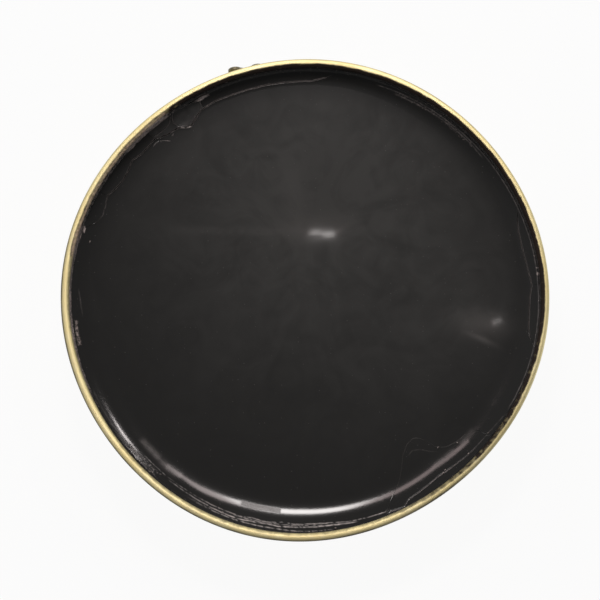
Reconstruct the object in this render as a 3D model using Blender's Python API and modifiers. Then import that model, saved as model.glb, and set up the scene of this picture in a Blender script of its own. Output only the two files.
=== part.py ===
"""Open round tin of black wax polish, lid off.

The tin is one drawn pan of lacquered tinplate with its rim rolled outwards into a bead.
A stamped butterfly key turns on a rivet through the wall: turned upright, it pries a lid up.
The wax cake has shrunk and cracked, so pieces of crust lie loose between cake and wall.

Units are metres, +Z is up, and the origin is the centre of the tin's underside.
Angles run anticlockwise from +X, seen from above.
"""

import math

import bmesh
import bpy
from mathutils import Matrix, Vector

MM = 0.001
WELD = 0.001 * MM  # points closer than this are one point

# Tin
TIN_RADIUS = 47.5 * MM  # over the rolled bead
TIN_HEIGHT = 18.0 * MM
SHEET = 0.22 * MM  # tinplate thickness
BEAD_DIAMETER = 1.6 * MM
BEAD_GAP = 0.19 * MM  # between the end of the curl and the wall
FLOOR_CORNER_RADIUS = 2.2 * MM  # inside, between floor and wall
RING_RADIUS = 36.0 * MM  # stiffening ring pressed up into the floor
RING_WIDTH = 3.2 * MM
RING_HEIGHT = 0.6 * MM

# Wax
WAX_DROP = 3.6 * MM  # from the top of the bead down to the level wax
MENISCUS_WIDTH = 6.0 * MM  # the band where the wax climbs to the wall
MENISCUS_RISE = 1.6 * MM
WAX_GAP = 0.3 * MM  # between wax and tin
CRACK_WIDTH = 0.3 * MM
CRUST_DEPTH = 1.5 * MM  # how far the crust reaches below the level wax
NARROW_CRUST = 1.1 * MM  # how far a piece of crust reaches in from the wall
MIDDLE_CRUST = 1.9 * MM
WIDE_CRUST = 2.3 * MM
BROAD_CRUST = 3.1 * MM
SHALLOW_BULGE = 0.3 * MM  # how much further in its middle reaches
SCALLOP_BULGE = 0.9 * MM
CHIP_BULGE = 2.0 * MM
FILM_BULGE = 8.4 * MM

# Opener
OPENER_ANGLE = math.radians(104.5)
KEY_SHEET = 0.5 * MM
KEY_REACH = 6.3 * MM  # from the pivot to the wing tips, measured flat
KEY_BOSS_RADIUS = 2.3 * MM
KEY_WAIST_ANGLE = math.radians(40)  # where the boss runs out into a wing
KEY_LOBE_RADIUS = 1.35 * MM
KEY_LOBE_OFFSET = 2.2 * MM  # of a lobe's centre, sideways from the key's long axis
KEY_LOBE_FIRST = math.radians(-20)  # where a lobe's curve starts and ends
KEY_LOBE_LAST = math.radians(150)
KEY_NOTCH_DEPTH = 1.3 * MM  # between the two lobes of a wing
KEY_FOLD = 2.6 * MM  # from the pivot to where a wing bends outwards
KEY_FOLD_ANGLE = math.radians(20)
KEY_BEAD_CLEARANCE = 1.1 * MM  # under the bead, when the key is upright
RIVET_RADIUS = 1.1 * MM
RIVET_HEAD_RADIUS = 1.9 * MM
RIVET_HEAD_HEIGHT = 0.7 * MM
RIVET_TAIL_HEIGHT = 0.5 * MM  # the clinched end inside the tin
RIVET_COLLAR_RADIUS = 1.7 * MM
RIVET_COLLAR_HEIGHT = 0.6 * MM  # holds the key off the wall
RUNNING_CLEARANCE = 0.1 * MM

# Facets
TURN_STEPS = 72
RIVET_STEPS = 24
ARC_STEPS = 5
BEAD_STEPS = 7
CRACK_STEPS = 8

# Derived sizes
wall_radius = TIN_RADIUS - BEAD_DIAMETER  # inner face
wax_level = TIN_HEIGHT - WAX_DROP
crust_bottom = wax_level - CRUST_DEPTH
half_facet = math.pi / TURN_STEPS
wall_face = (wall_radius + SHEET) * math.cos(half_facet)  # outer face, at a facet's middle
key_height = TIN_HEIGHT - BEAD_DIAMETER - KEY_BEAD_CLEARANCE - KEY_REACH
key_back = RIVET_COLLAR_HEIGHT + 2 * RUNNING_CLEARANCE  # the key's inner face, out from the wall
rivet_hole_radius = RIVET_RADIUS + RUNNING_CLEARANCE
facet_turn = OPENER_ANGLE + half_facet  # lays one facet of the wall square to the rivet

# Crust pieces: first and last angle in degrees, how far each reaches in from the wall at those two
# edges, how much further its middle bulges, and the bulge's roundness: 1 is a point, 2 a scallop.
CRUST = {
    "crust_right_lower": (-12, 3.2, MIDDLE_CRUST, NARROW_CRUST, SHALLOW_BULGE, 2),
    "crust_right_upper": (3.2, 23, NARROW_CRUST, NARROW_CRUST, SCALLOP_BULGE, 2),
    "crust_top": (82, 117.5, MIDDLE_CRUST, WIDE_CRUST, SHALLOW_BULGE, 2),
    "crust_chip": (117.5, 126.2, WIDE_CRUST, WIDE_CRUST, CHIP_BULGE, 3),
    "crust_sliver": (126.2, 133, BROAD_CRUST, WIDE_CRUST, SHALLOW_BULGE, 2),
    "crust_scallop_high": (133, 141, WIDE_CRUST, MIDDLE_CRUST, SHALLOW_BULGE, 2),
    "crust_scallop_middle": (141, 152.3, MIDDLE_CRUST, MIDDLE_CRUST, SCALLOP_BULGE, 2),
    "crust_scallop_low": (152.3, 162, MIDDLE_CRUST, MIDDLE_CRUST, SCALLOP_BULGE, 2),
    "crust_lower_right": (290.3, 322, NARROW_CRUST, BROAD_CRUST, FILM_BULGE, 1.3),
}


def clear_scene():
    for obj in list(bpy.data.objects):
        bpy.data.objects.remove(obj)


def new_collection(name):
    collection = bpy.data.collections.new(name)
    bpy.context.scene.collection.children.link(collection)
    return collection


def new_material(name, colour, roughness, metallic):
    material = bpy.data.materials.new(name)
    material.use_nodes = True
    shader = material.node_tree.nodes["Principled BSDF"]
    shader.inputs["Base Color"].default_value = (*colour, 1)
    shader.inputs["Roughness"].default_value = roughness
    shader.inputs["Metallic"].default_value = metallic
    return material


def new_object(name, data, collection, material=None):
    obj = bpy.data.objects.new(name, data)
    collection.objects.link(obj)
    if material:
        data.materials.append(material)
    return obj


def make_cutter(obj):
    obj.hide_render = True
    obj.display_type = "WIRE"
    return obj


def add_boolean(obj, other, operation):
    modifier = obj.modifiers.new(other.name, "BOOLEAN")
    modifier.operation = operation
    modifier.object = other
    return modifier


def arc(centre, radius, first, last, steps):
    """Points on a circle from the first angle to the last, both included."""
    turn = (last - first) / steps
    return [
        (
            centre[0] + radius * math.cos(first + turn * i),
            centre[1] + radius * math.sin(first + turn * i),
        )
        for i in range(steps + 1)
    ]


def turned(name, profile, steps, collection, material=None):
    """A solid of revolution about Z. The profile holds (radius, height) and runs down its outer side."""
    mesh = bpy.data.meshes.new(name)
    edges = [(i, i + 1) for i in range(len(profile) - 1)]
    mesh.from_pydata([(r, 0, z) for r, z in profile], edges, [])
    obj = new_object(name, mesh, collection, material)
    screw = obj.modifiers.new("Turn", "SCREW")
    screw.steps = screw.render_steps = steps
    screw.use_merge_vertices = True
    screw.merge_threshold = WELD
    screw.use_smooth_shade = True
    return obj


def prism(name, loops, bottom, top, collection, material=None):
    """An outline in plan, with any holes after it, filled and raised from bottom to top."""
    curve = bpy.data.curves.new(name, "CURVE")
    curve.dimensions = "2D"
    curve.fill_mode = "BOTH"
    curve.extrude = (top - bottom) / 2
    for loop in loops:
        spline = curve.splines.new("POLY")
        spline.points.add(len(loop) - 1)
        for point, (x, y) in zip(spline.points, loop):
            point.co = (x, y, 0, 1)
        spline.use_cyclic_u = True
    flat = new_object(name + "_outline", curve, collection)
    flat.location.z = (bottom + top) / 2
    bpy.context.view_layer.update()
    graph = bpy.context.evaluated_depsgraph_get()
    mesh = bpy.data.meshes.new_from_object(flat.evaluated_get(graph))
    mesh.name = name
    weld = bmesh.new()
    weld.from_mesh(mesh)
    bmesh.ops.remove_doubles(weld, verts=weld.verts, dist=WELD)
    bmesh.ops.recalc_face_normals(weld, faces=weld.faces)
    weld.to_mesh(mesh)
    weld.free()
    obj = new_object(name, mesh, collection, material)
    obj.matrix_world = flat.matrix_world
    bpy.data.objects.remove(flat)
    return obj


def pan_surface(inset):
    """Half-section of the pan's inner face, moved in by inset, from the axis to the foot of the wall."""
    floor = SHEET + inset
    points = [(0, floor)]
    for i in range(ARC_STEPS + 1):
        along = i / ARC_STEPS - 0.5
        raised = RING_HEIGHT * math.cos(math.pi * along) ** 2
        points.append((RING_RADIUS + along * RING_WIDTH, floor + raised))
    centre = (wall_radius - FLOOR_CORNER_RADIUS, SHEET + FLOOR_CORNER_RADIUS)
    return points + arc(centre, FLOOR_CORNER_RADIUS - inset, -math.pi / 2, 0, ARC_STEPS)


def bead_section():
    """The rolled rim, from the top of the wall's inner face round to its outer face."""
    radius = BEAD_DIAMETER / 2
    centre = (wall_radius + radius, TIN_HEIGHT - radius)
    last = math.acos((radius - SHEET - BEAD_GAP) / radius) - math.pi
    outside = arc(centre, radius, math.pi, last, BEAD_STEPS)
    inside = arc(centre, radius - SHEET, last, math.pi, BEAD_STEPS)
    return outside + inside


def wax_height(radius):
    """Height of the wax surface: level in the middle, climbing to the wall."""
    outer = wall_radius - WAX_GAP
    climb = max(0, radius - (outer - MENISCUS_WIDTH)) / MENISCUS_WIDTH
    return wax_level + MENISCUS_RISE * climb**2


def wax_blank(name, collection, material=None):
    """The wax as poured, before it cracked."""
    outer = wall_radius - WAX_GAP
    top = [(0, wax_level)]
    for i in range(ARC_STEPS + 1):
        radius = outer - MENISCUS_WIDTH * (1 - i / ARC_STEPS)
        top.append((radius, wax_height(radius)))
    return turned(name, top + pan_surface(WAX_GAP)[::-1], TURN_STEPS, collection, material)


def crust_outline(first, last, reach_first, reach_last, bulge, roundness, grow):
    """Plan of one crust piece, grown on each side."""
    slack = grow / wall_radius
    start = math.radians(first) - slack
    end = math.radians(last) + slack
    inner = []
    for i in range(CRACK_STEPS + 1):
        along = i / CRACK_STEPS
        reach = reach_first + (reach_last - reach_first) * along
        reach += bulge * (1 - abs(2 * along - 1) ** roundness)
        angle = start + (end - start) * along
        radius = wall_radius - reach - grow
        inner.append((radius * math.cos(angle), radius * math.sin(angle)))
    return inner + arc((0, 0), wall_radius + grow, end, start, CRACK_STEPS)


def peg_cutter(name, radius, half_length, collection, parent):
    """A round cutter along the parent's Z, centred on it."""
    bpy.ops.mesh.primitive_cylinder_add(vertices=RIVET_STEPS, radius=radius, depth=2 * half_length)
    peg = make_cutter(bpy.context.object)
    peg.name = name
    for other in peg.users_collection:
        other.objects.unlink(peg)
    collection.objects.link(peg)
    peg.parent = parent
    return peg


def make_tin(parts, cutters, tinplate, opener):
    section = pan_surface(0) + bead_section() + pan_surface(-SHEET)[::-1]
    tin = turned("tin_base", section, TURN_STEPS, parts, tinplate)
    tin.rotation_euler.z = facet_turn
    hole = peg_cutter("rivet_hole", rivet_hole_radius, 2 * SHEET, cutters, opener)
    add_boolean(tin, hole, "DIFFERENCE")
    return tin


def make_wax(parts, cutters, wax, opener):
    cake = wax_blank("polish_cake", parts, wax)
    cake.rotation_euler.z = facet_turn
    blank = make_cutter(wax_blank("poured_wax", cutters))
    blank.rotation_euler.z = facet_turn
    half_crack = CRACK_WIDTH / 2
    for name, sizes in CRUST.items():
        outline = crust_outline(*sizes, -half_crack)
        piece = prism(name, [outline], crust_bottom, TIN_HEIGHT, parts, wax)
        add_boolean(piece, blank, "INTERSECT")
        outline = crust_outline(*sizes, half_crack)
        pocket = prism(name + "_pocket", [outline], crust_bottom - WAX_GAP, TIN_HEIGHT, cutters)
        add_boolean(cake, make_cutter(pocket), "DIFFERENCE")
    # The rivet's tail was there when the wax was poured, so the cake has its print.
    print_depth = SHEET + RUNNING_CLEARANCE + RIVET_TAIL_HEIGHT + WAX_GAP
    print_radius = RIVET_HEAD_RADIUS + WAX_GAP
    add_boolean(cake, peg_cutter("rivet_print", print_radius, print_depth, cutters, opener), "DIFFERENCE")
    return cake


def wing_quarter():
    """A quarter of the key's outline, (across, along), from the side of the boss to the notch."""
    lobe = (KEY_LOBE_OFFSET, KEY_REACH - KEY_LOBE_RADIUS)
    boss_side = arc((0, 0), KEY_BOSS_RADIUS, 0, KEY_WAIST_ANGLE, ARC_STEPS)
    lobe_side = arc(lobe, KEY_LOBE_RADIUS, KEY_LOBE_FIRST, KEY_LOBE_LAST, ARC_STEPS)
    return boss_side + lobe_side + [(0, KEY_REACH - KEY_NOTCH_DEPTH)]


def make_key(parts, steel, opener):
    quarter = wing_quarter()
    upper = quarter + [(-x, y) for x, y in quarter[-2:0:-1]]
    outline = upper + [(-x, -y) for x, y in upper]
    hole = arc((0, 0), rivet_hole_radius, 0, 2 * math.pi, RIVET_STEPS)[:-1]
    key = prism("opener_key", [outline, hole], key_back, key_back + KEY_SHEET, parts, steel)
    key.data.transform(key.matrix_world)
    key.matrix_world = Matrix.Identity(4)
    sheet = bmesh.new()
    sheet.from_mesh(key.data)
    for side in (1, -1):
        crease = Vector((0, side * KEY_FOLD, key_back + KEY_SHEET))
        bmesh.ops.bisect_plane(
            sheet,
            geom=sheet.verts[:] + sheet.edges[:] + sheet.faces[:],
            plane_co=crease,
            plane_no=(0, 1, 0),
            dist=WELD,
        )
        wing = [v for v in sheet.verts if side * v.co.y > KEY_FOLD + 2 * WELD]
        bend = Matrix.Rotation(side * KEY_FOLD_ANGLE, 3, "X")
        bmesh.ops.rotate(sheet, verts=wing, cent=crease, matrix=bend)
    bmesh.ops.triangulate(sheet, faces=sheet.faces)
    sheet.to_mesh(key.data)
    sheet.free()
    key.parent = opener
    return key


def make_rivet(parts, steel, opener):
    tail_top = -SHEET - RUNNING_CLEARANCE
    collar_top = RUNNING_CLEARANCE + RIVET_COLLAR_HEIGHT
    head_bottom = key_back + KEY_SHEET + RUNNING_CLEARANCE
    dome = [
        (RIVET_HEAD_RADIUS * math.sin(a), head_bottom + RIVET_HEAD_HEIGHT * math.cos(a))
        for a in (math.pi / 2 * i / ARC_STEPS for i in range(ARC_STEPS + 1))
    ]
    shank = [
        (RIVET_RADIUS, head_bottom),
        (RIVET_RADIUS, collar_top),
        (RIVET_COLLAR_RADIUS, collar_top),
        (RIVET_COLLAR_RADIUS, RUNNING_CLEARANCE),
        (RIVET_RADIUS, RUNNING_CLEARANCE),
        (RIVET_RADIUS, tail_top),
        (RIVET_HEAD_RADIUS, tail_top),
        (RIVET_HEAD_RADIUS, tail_top - RIVET_TAIL_HEIGHT),
        (0, tail_top - RIVET_TAIL_HEIGHT),
    ]
    rivet = turned("opener_rivet", dome + shank, RIVET_STEPS, parts, steel)
    rivet.parent = opener
    return rivet


def make_opener_axis(parts):
    """An empty on the wall: its Z points out along the rivet and its Y points up."""
    outward = Vector((math.cos(OPENER_ANGLE), math.sin(OPENER_ANGLE), 0))
    up = Vector((0, 0, 1))
    across = up.cross(outward)
    empty = bpy.data.objects.new("opener_axis", None)
    parts.objects.link(empty)
    turn = Matrix((across, up, outward)).transposed().to_4x4()
    empty.matrix_world = Matrix.Translation(outward * wall_face + up * key_height) @ turn
    return empty


def main():
    clear_scene()
    parts = new_collection("shoe_polish_tin")
    cutters = new_collection("cutters")
    tinplate = new_material("gold_lacquered_tinplate", (0.72, 0.55, 0.24), 0.28, 1.0)
    wax = new_material("black_wax", (0.022, 0.020, 0.020), 0.38, 0.0)
    steel = new_material("tinned_steel", (0.60, 0.58, 0.54), 0.32, 1.0)
    opener = make_opener_axis(parts)
    make_tin(parts, cutters, tinplate, opener)
    make_wax(parts, cutters, wax, opener)
    make_key(parts, steel, opener)
    make_rivet(parts, steel, opener)
    bpy.context.view_layer.update()


main()
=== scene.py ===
import math

import bmesh
import bpy
from mathutils import Matrix, Vector, noise


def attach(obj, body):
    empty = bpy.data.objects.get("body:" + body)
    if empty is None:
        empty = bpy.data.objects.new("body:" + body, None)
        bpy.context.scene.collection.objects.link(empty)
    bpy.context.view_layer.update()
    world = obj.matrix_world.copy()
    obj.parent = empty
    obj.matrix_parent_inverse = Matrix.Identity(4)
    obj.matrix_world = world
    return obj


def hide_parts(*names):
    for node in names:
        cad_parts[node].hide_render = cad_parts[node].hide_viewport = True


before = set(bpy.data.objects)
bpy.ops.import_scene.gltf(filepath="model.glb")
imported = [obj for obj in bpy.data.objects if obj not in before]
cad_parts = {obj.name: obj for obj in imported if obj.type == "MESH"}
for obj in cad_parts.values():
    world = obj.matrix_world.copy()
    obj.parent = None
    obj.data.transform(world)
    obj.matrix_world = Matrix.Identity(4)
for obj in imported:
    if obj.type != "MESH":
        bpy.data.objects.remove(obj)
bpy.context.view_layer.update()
mm = 0.001
noise.seed_set(3)  # so that the ripples are the same each run
print("frame loaded")


# small tools used by every piece

def readTable(table, at):
    if at <= table[0][0]:
        return table[0][1]
    for (a, u), (b, v) in zip(table, table[1:]):
        if at <= b:
            return u + (v - u) * (at - a) / (b - a)
    return table[-1][1]


def ramp(low, high, at):  # 0 below low, 1 above high, smooth between
    t = min(1, max(0, (at - low) / (high - low)))
    return t * t * (3 - 2 * t)


def turnOf(x, y):  # degrees anticlockwise from +X, from -30 up to 330
    return (math.degrees(math.atan2(y, x)) + 30) % 360 - 30


def wobble(a, b, c=0.5):  # smooth noise, about -1 to 1
    return noise.noise(Vector((a, b, c)))


def around(turn, r):  # the place at this turn in degrees and this radius
    a = math.radians(turn)
    return r * math.cos(a), r * math.sin(a)


def pushOut(v, share):  # moves a point straight out by a share of its radius
    v.co.x *= 1 + share
    v.co.y *= 1 + share


def axesAt(place, x, y, z):  # a matrix from a place and its three axes
    return Matrix.Translation(place) @ Matrix((x, y, z)).transposed().to_4x4()


def lathe(profile, steps, first=0, last=360):  # rolls a grid into a turned shape
    bm = bmesh.new()
    ring = bm.verts.layers.int.new("ring")  # each vertex keeps its place in the profile
    rows = len(profile) - 1
    bmesh.ops.create_grid(bm, x_segments=rows, y_segments=steps, size=1)
    for v in bm.verts:
        v[ring] = round((v.co.x + 1) / 2 * rows)
        turn = first + (v.co.y + 1) / 2 * (last - first)
        r, z = profile[v[ring]]  # radius and height in mm
        v.co = Vector((*around(turn, r), z)) * mm
    bmesh.ops.remove_doubles(bm, verts=bm.verts, dist=1e-7)  # closes the seam and the poles
    if last - first < 360:
        bmesh.ops.holes_fill(bm, edges=[e for e in bm.edges if e.is_boundary], sides=0)
    bmesh.ops.recalc_face_normals(bm, faces=bm.faces)
    return bm, ring


def addObject(name, data):
    made = bpy.data.objects.new(name, data)
    bpy.context.scene.collection.objects.link(made)
    return made


def makePiece(name, bm, material, marks=None, sharp=50):
    mesh = bpy.data.meshes.new(name)
    bm.to_mesh(mesh)
    bm.free()
    for mark, values in (marks or {}).items():
        layer = mesh.attributes.new(mark, "FLOAT", "POINT")
        layer.data.foreach_set("value", values)
    mesh.materials.append(material)
    mesh.shade_smooth()
    mesh.set_sharp_from_angle(angle=math.radians(sharp))
    return addObject(name, mesh)


def settle(piece, body, slot, *nodes):
    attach(piece, body)
    if nodes:
        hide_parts(*nodes)


# material tools

def newFinish(name):
    material = bpy.data.materials.new(name)
    material.use_nodes = True
    tree = material.node_tree
    return material, tree, tree.nodes["Principled BSDF"]


def setInputs(tree, node, inputs):
    for key, value in inputs.items():
        if isinstance(value, bpy.types.NodeSocket):
            tree.links.new(value, node.inputs[key])
        else:
            node.inputs[key].default_value = value


def addNode(tree, kind, inputs=None, **settings):
    node = tree.nodes.new(kind)
    for key, value in settings.items():
        setattr(node, key, value)
    setInputs(tree, node, inputs or {})
    return node


def math2(tree, operation, a, b, clamp=False):
    return addNode(tree, "ShaderNodeMath", {0: a, 1: b}, operation=operation, use_clamp=clamp).outputs[0]


def times(tree, a, b, clamp=False):
    return math2(tree, "MULTIPLY", a, b, clamp)


def plus(tree, a, b, clamp=False):
    return math2(tree, "ADD", a, b, clamp)


def mixColours(tree, amount, a, b):
    node = addNode(tree, "ShaderNodeMix", {0: amount, 6: a, 7: b}, data_type="RGBA")
    return node.outputs[2]


def stretch(tree, value, low, high, newLow=0.0, newHigh=1.0):
    node = addNode(tree, "ShaderNodeMapRange", {0: value, 1: low, 2: high, 3: newLow, 4: newHigh})
    return node.outputs[0]


def noiseOf(tree, vector, scale, detail, distortion=0.0):
    inputs = {"Vector": vector, "Scale": scale, "Detail": detail, "Distortion": distortion}
    return addNode(tree, "ShaderNodeTexNoise", inputs).outputs[0]


def bumpOf(tree, strength, height):
    inputs = {"Strength": strength, "Distance": 0.0001, "Height": height}
    return addNode(tree, "ShaderNodeBump", inputs).outputs[0]


def markOf(tree, name):
    return addNode(tree, "ShaderNodeAttribute", attribute_name=name).outputs["Fac"]


def placeOf(tree, kind="Object"):
    return addNode(tree, "ShaderNodeTexCoord").outputs[kind]


def vectorMath(tree, operation, inputs):
    return addNode(tree, "ShaderNodeVectorMath", inputs, operation=operation).outputs


def splitPlace(tree, place):  # the three parts of a place, and the place without its height
    parts = addNode(tree, "ShaderNodeSeparateXYZ", {0: place}).outputs
    return parts, addNode(tree, "ShaderNodeCombineXYZ", {0: parts[0], 1: parts[1]}).outputs[0]


def roundTheTin(tree, turns, across):  # a vector that runs round the axis, for marks that follow the rim
    parts, flat = splitPlace(tree, placeOf(tree))
    angle = math2(tree, "ARCTAN2", parts[1], parts[0])
    radius = vectorMath(tree, "LENGTH", {0: flat})["Value"]
    return addNode(tree, "ShaderNodeCombineXYZ", {
        0: times(tree, angle, turns),
        1: times(tree, radius, across),
        2: times(tree, parts[2], across),
    }).outputs[0]


def raysFrom(tree, centre, turns, along):  # a vector for marks that run straight out from a point
    shifted = vectorMath(tree, "SUBTRACT", {0: placeOf(tree), 1: (*centre, 0)})[0]
    flat = splitPlace(tree, shifted)[1]
    way = vectorMath(tree, "NORMALIZE", {0: flat})[0]
    spread = vectorMath(tree, "SCALE", {0: way, "Scale": turns})[0]
    out = vectorMath(tree, "LENGTH", {0: flat})["Value"]
    lift = addNode(tree, "ShaderNodeCombineXYZ", {2: times(tree, out, along)}).outputs[0]
    return vectorMath(tree, "ADD", {0: spread, 1: lift})[0], out


# finishes

def makeGoldLacquer():
    look = dict(
        gold=(0.94, 0.82, 0.45, 1), deep=(0.88, 0.74, 0.37, 1), bare=(0.92, 0.87, 0.72, 1),
        grime=(0.075, 0.064, 0.042, 1), smear=(0.018, 0.011, 0.0078, 1), chalk=(0.52, 0.37, 0.3, 1),
        rough=(0.49, 0.57), drawnShine=0.2, coat=0.6, coatRough=0.42, specular=0.15,
    )
    material, tree, shader = newFinish("goldLacquer")
    place = placeOf(tree)
    patches = noiseOf(tree, place, 70.0, 4.0, 0.6)
    colour = mixColours(tree, stretch(tree, patches, 0.35, 0.7), look["gold"], look["deep"])
    rubbed = stretch(tree, noiseOf(tree, place, 420.0, 5.0, 0.4), 0.52, 0.7)
    worn = times(tree, markOf(tree, "wear"), rubbed, True)
    colour = mixColours(tree, worn, colour, look["bare"])
    # random dirt, plus the grime mark, which is painted shade on the bead's outer side and at the wall's
    # foot and under the bead
    dirtAndShade = stretch(tree, noiseOf(tree, place, 300.0, 5.0, 0.5), 0.3, 0.7, -0.08, 0.08)
    dirtAndShade = plus(tree, markOf(tree, "grime"), dirtAndShade)
    dirtAndShade = stretch(tree, dirtAndShade, 0.12, 1.0)
    colour = mixColours(tree, dirtAndShade, colour, look["grime"])
    torn = stretch(tree, noiseOf(tree, place, 900.0, 5.0, 0.3), 0.3, 0.7, -0.14, 0.14)
    film = stretch(tree, plus(tree, markOf(tree, "smear"), torn), 0.14, 0.9)
    crumbly = stretch(tree, noiseOf(tree, place, 1700.0, 4.0), 0.36, 0.56, 0.25, 1.0)
    chalky = times(tree, markOf(tree, "chalk"), crumbly)
    colour = mixColours(tree, film, colour, mixColours(tree, chalky, look["smear"], look["chalk"]))
    rough = stretch(tree, patches, 0.3, 0.7, *look["rough"])
    shine = times(tree, markOf(tree, "drawn"), look["drawnShine"])
    clean = math2(tree, "SUBTRACT", 1.0, math2(tree, "MAXIMUM", dirtAndShade, film))
    setInputs(tree, shader, {
        "Base Color": colour,
        "Metallic": math2(tree, "SUBTRACT", 1.0, film),
        "Roughness": math2(tree, "SUBTRACT", rough, shine),
        "Coat Weight": times(tree, clean, look["coat"]),
        "Coat Roughness": look["coatRough"],
        "Specular IOR Level": look["specular"],
    })
    return material


def makeBlackWax():
    look = dict(
        wax=(0.0113, 0.0108, 0.0102, 1), bloom=(0.046, 0.0446, 0.0428, 1),
        dry=(0.52, 0.425, 0.395, 1), dryDark=(0.03, 0.0225, 0.0205, 1), pale=(0.62, 0.54, 0.515, 1),
        speck=(0.16, 0.148, 0.144, 1),
        specksPerMetre=950.0, speckSize=0.085, speckRare=0.88, speckStrength=0.35,
        gloss=0.115, dryRough=0.62, paleMatt=3.6, specular=0.38, sheenRaysFrom=(0.001, 0.0135),
    )
    material, tree, shader = newFinish("blackWax")
    place = placeOf(tree)
    # painted sheen: the bloom mark lays a paler wax where the lamps' glow shows, broken up by clouds and
    # by rays from the main highlight
    clouds = noiseOf(tree, place, 120.0, 4.0, 1.8)
    raysWay, raysOut = raysFrom(tree, look["sheenRaysFrom"], 4.0, 70.0)
    rays = stretch(tree, noiseOf(tree, raysWay, 1.0, 4.0, 0.9), 0.3, 0.7, -0.18, 0.18)
    rays = times(tree, rays, stretch(tree, raysOut, 0.002, 0.016))
    cloudy = plus(tree, stretch(tree, clouds, 0.3, 0.7, 0.76, 1.2), rays)
    bloom = times(tree, markOf(tree, "bloom"), cloudy, True)
    colour = mixColours(tree, bloom, look["wax"], look["bloom"])
    level = addNode(tree, "ShaderNodeMapping", {"Vector": place, "Scale": (1, 1, 0)}).outputs[0]
    cells = {"Vector": level, "Scale": look["specksPerMetre"]}
    dust = addNode(tree, "ShaderNodeTexVoronoi", cells, voronoi_dimensions="2D").outputs
    pick = addNode(tree, "ShaderNodeSeparateColor", {0: dust["Color"]}).outputs
    size = times(tree, pick[1], look["speckSize"])
    dot = math2(tree, "LESS_THAN", dust["Distance"], size)
    dot = times(tree, dot, math2(tree, "GREATER_THAN", pick[0], look["speckRare"]))
    colour = mixColours(tree, times(tree, dot, look["speckStrength"]), colour, look["speck"])
    streaks = noiseOf(tree, roundTheTin(tree, 26.0, 3800.0), 1.0, 4.0, 0.5)
    flecks = noiseOf(tree, place, 2400.0, 3.0)
    tone = stretch(tree, plus(tree, streaks, times(tree, flecks, 0.6)), 0.68, 1.02)
    dryColour = mixColours(tree, tone, look["dryDark"], look["dry"])
    dry = markOf(tree, "dry")
    torn = stretch(tree, flecks, 0.3, 0.7, -0.22, 0.22)
    broken = stretch(tree, plus(tree, dry, torn), 0.1, 0.85)
    broken = times(tree, broken, math2(tree, "GREATER_THAN", dry, 0.01))
    colour = mixColours(tree, broken, colour, dryColour)
    pale = markOf(tree, "pale")
    colour = mixColours(tree, pale, colour, look["pale"])
    matt = plus(tree, broken, times(tree, pale, look["paleMatt"]), True)
    height = times(tree, flecks, plus(tree, broken, 0.02))
    setInputs(tree, shader, {
        "Base Color": colour,
        "Roughness": stretch(tree, matt, 0.0, 1.0, look["gloss"], look["dryRough"]),
        "Specular IOR Level": look["specular"],
        "Normal": bumpOf(tree, 0.3, height),
    })
    return material


def makeSteelWithPaintedShade():
    # painted shade: these steel colours are darkened to how the key looks in the shade under the bead
    look = dict(
        bright=(0.24, 0.215, 0.145, 1), dull=(0.15, 0.13, 0.085, 1), spot=(0.07, 0.052, 0.035, 1),
        rough=(0.34, 0.52),
    )
    material, tree, shader = newFinish("steelWithPaintedShade")
    place = placeOf(tree)
    patches = noiseOf(tree, place, 380.0, 4.0, 0.5)
    spots = noiseOf(tree, place, 1500.0, 3.0)
    colour = mixColours(tree, stretch(tree, patches, 0.38, 0.66), look["bright"], look["dull"])
    colour = mixColours(tree, stretch(tree, spots, 0.64, 0.74, 0.0, 0.7), colour, look["spot"])
    setInputs(tree, shader, {
        "Base Color": colour,
        "Metallic": 1.0,
        "Roughness": stretch(tree, spots, 0.3, 0.7, *look["rough"]),
        "Normal": bumpOf(tree, 0.1, spots),
    })
    return material


goldLacquer = makeGoldLacquer()
blackWax = makeBlackWax()
steelWithPaintedShade = makeSteelWithPaintedShade()
print("finishes ready")


# tin: one drawn pan, its rim rolled outwards into a bead

tin = dict(
    radius=47.16, height=17.94, sheet=0.22, bead=1.6, beadGap=0.19, corner=2.2,
    ringAt=36.0, ringWidth=3.2, ringHeight=0.6, turns=480, beadSteps=30, beadSquare=2.6,
    insideRings=(6, 10, 13.5, 14.5, 15.2, 15.8, 16.2, 16.5, 16.8), outsideRings=(16.2, 14, 11, 8, 5),
    lobes=((3, 0.12, 20), (4, 0.22, -8)),  # handling has pressed the rim out of round: lobes, mm, degrees
    lobesFrom=38, lobesFull=45.5, waver=0.03,  # the rim isn't quite level either
)
wallInside = tin["radius"] - tin["bead"]
smearUp = (  # degrees, and how far wax is smeared over the bead's inner side, in mm
    (-30, 0.78), (-20, 0.7), (-10, 0.7), (0, 0.82), (20, 0.68), (40, 0.66), (60, 0.6), (75, 0.54),
    (105, 0.6), (118, 0.62), (125, 0.6), (127, 0.56), (139, 0.56), (146, 0.52), (155, 0.52),
    (161, 0.5), (163, 0.6), (168.5, 0.6), (171, 0.34), (185, 0.26), (200, 0.1), (215, 0.12),
    (222, 0.38), (240, 0.46), (260, 0.48), (290, 0.46), (300, 0.54), (318, 0.76), (330, 0.78),
)
smearDepth = (  # degrees, and how much of the lacquer that smear hides
    (-30, 0.9), (0, 1.0), (118, 1.0), (124, 0.9), (128, 0.75), (140, 0.75), (146, 0.72), (160, 0.75),
    (169, 0.8), (172, 0.5), (200, 0.35), (222, 0.42), (285, 0.45), (300, 0.7), (318, 0.85), (330, 0.9),
)
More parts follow.
